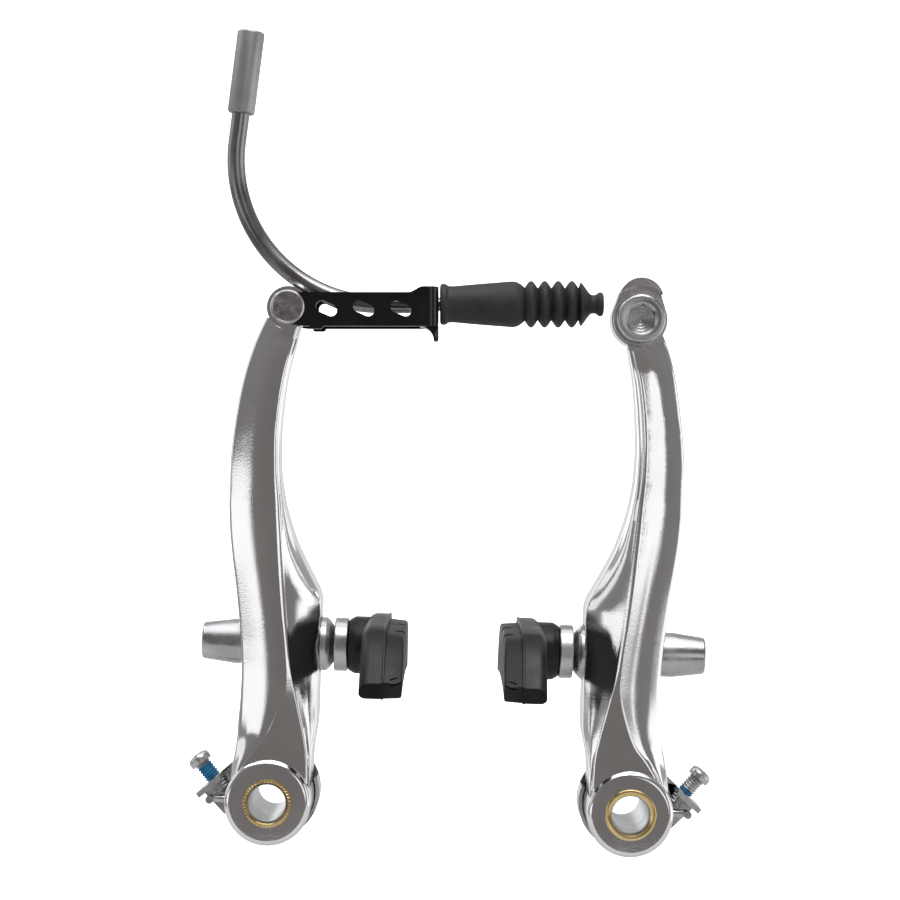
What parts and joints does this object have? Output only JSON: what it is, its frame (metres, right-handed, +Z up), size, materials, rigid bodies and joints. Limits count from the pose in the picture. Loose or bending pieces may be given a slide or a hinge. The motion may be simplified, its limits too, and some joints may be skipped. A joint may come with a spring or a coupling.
{
  "type": "linear-pull rim brake",
  "caption": "Linear-pull bicycle rim brake: two polished arms on boss sleeves, with pads, a cable noodle, link and rubber boot, and a cable anchor bolt.",
  "frame": {"origin": "midway between the two boss axes, in the plane of the bosses' shoulders", "axes": "+X across the wheel, +Y towards the frame along the bosses, +Z up"},
  "size_m": [0.1194, 0.061, 0.1816],
  "materials": {
    "polished_aluminium": "bright polish",
    "brass": "machined",
    "zinc": "zinc plated",
    "grey_steel": "satin grey plating",
    "dark_steel": "satin dark grey",
    "spring_wire": "bright drawn wire",
    "satin_aluminium": "satin",
    "black_link": "gloss black",
    "white_liner": "matte",
    "boot_rubber": "matte",
    "pad_backing": "semi matte",
    "pad_rubber": "matte"
  },
  "bodies": {
    "bosses": {"left_pivot_sleeve": "zinc", "right_pivot_sleeve": "zinc", "left_spring_cup": "zinc", "right_spring_cup": "zinc", "left_return_spring": "spring_wire", "right_return_spring": "spring_wire"},
    "left_screw": {"left_tension_screw": "zinc"},
    "right_screw": {"right_tension_screw": "zinc"},
    "left_lever": {"left_arm": "polished_aluminium", "left_pivot_bush": "brass", "left_spring_catch": "zinc", "link_rivet": "grey_steel"},
    "right_lever": {"right_arm": "polished_aluminium", "right_pivot_bush": "brass", "right_spring_catch": "zinc"},
    "link": {"cable_link": "black_link"},
    "noodle": {"noodle_tube": "dark_steel", "noodle_ferrule": "satin_aluminium", "noodle_liner": "white_liner", "boot_sleeve": "boot_rubber", "boot_bellows": "boot_rubber"},
    "boot_end": {"boot_tip": "boot_rubber"},
    "anchor": {"cable_clamp_washer": "zinc", "cable_anchor_bolt": "zinc"},
    "left_pad_clamp": {"left_outer_washers": "zinc", "left_inner_washers": "zinc"},
    "right_pad_clamp": {"right_outer_washers": "zinc", "right_inner_washers": "zinc"},
    "left_pad": {"left_pad_post": "grey_steel", "left_pad_backing": "pad_backing", "left_pad_block": "pad_rubber", "left_pad_nut": "zinc"},
    "right_pad": {"right_pad_post": "grey_steel", "right_pad_backing": "pad_backing", "right_pad_block": "pad_rubber", "right_pad_nut": "zinc"}
  },
  "joints": [
    {"name": "left_lever_swing", "type": "hinge", "parent": "bosses", "child": "left_lever", "pos_m": [-0.04, 0, 0], "axis": [0, -1, 0], "range_deg": [-0.4, 28], "stiffness_Nm_per_rad": 0.9, "deforming": ["left_return_spring"]},
    {"name": "left_screw_travel", "type": "slide", "parent": "bosses", "child": "left_screw", "axis": [0.6428, 0, -0.766], "range_m": [-0.0015, 0.001], "deforming": ["left_return_spring"]},
    {"name": "left_pad_height", "type": "slide", "parent": "left_lever", "child": "left_pad_clamp", "axis": [0, 0, 1], "range_m": [-0.003, 0.003]},
    {"name": "left_pad_turn", "type": "hinge", "parent": "left_pad_clamp", "child": "left_pad", "pos_m": [-0.03, -0.0115, 0.0343], "axis": [1, 0, 0], "range_deg": [-12, 12]},
    {"name": "right_lever_swing", "type": "hinge", "parent": "bosses", "child": "right_lever", "pos_m": [0.04, 0, 0], "axis": [0, 1, 0], "range_deg": [-0.4, 28], "stiffness_Nm_per_rad": 0.9, "deforming": ["right_return_spring"]},
    {"name": "right_screw_travel", "type": "slide", "parent": "bosses", "child": "right_screw", "axis": [-0.6428, 0, -0.766], "range_m": [-0.0015, 0.001], "deforming": ["right_return_spring"]},
    {"name": "right_pad_height", "type": "slide", "parent": "right_lever", "child": "right_pad_clamp", "axis": [0, 0, 1], "range_m": [-0.003, 0.003]},
    {"name": "right_pad_turn", "type": "hinge", "parent": "right_pad_clamp", "child": "right_pad", "pos_m": [0.03, -0.0115, 0.0343], "axis": [1, 0, 0], "range_deg": [-12, 12]},
    {"name": "link_swing", "type": "hinge", "parent": "left_lever", "child": "link", "pos_m": [-0.039, -0.017, 0.1093], "axis": [0, -1, 0], "range_deg": [-16, 80]},
    {"name": "noodle_turn", "type": "hinge", "parent": "link", "child": "noodle", "pos_m": [-0.02404, -0.017, 0.11078], "axis": [0.9995, 0, 0.0321], "range_deg": [-12, 12]},
    {"name": "boot_squeeze", "type": "slide", "parent": "noodle", "child": "boot_end", "axis": [-0.9995, 0, -0.0321], "range_m": [0, 0.006], "stiffness_N_per_m": 150, "deforming": ["boot_bellows"]},
    {"name": "anchor_travel", "type": "slide", "parent": "right_lever", "child": "anchor", "axis": [0, -1, 0], "range_m": [0, 0.0015]}
  ]
}
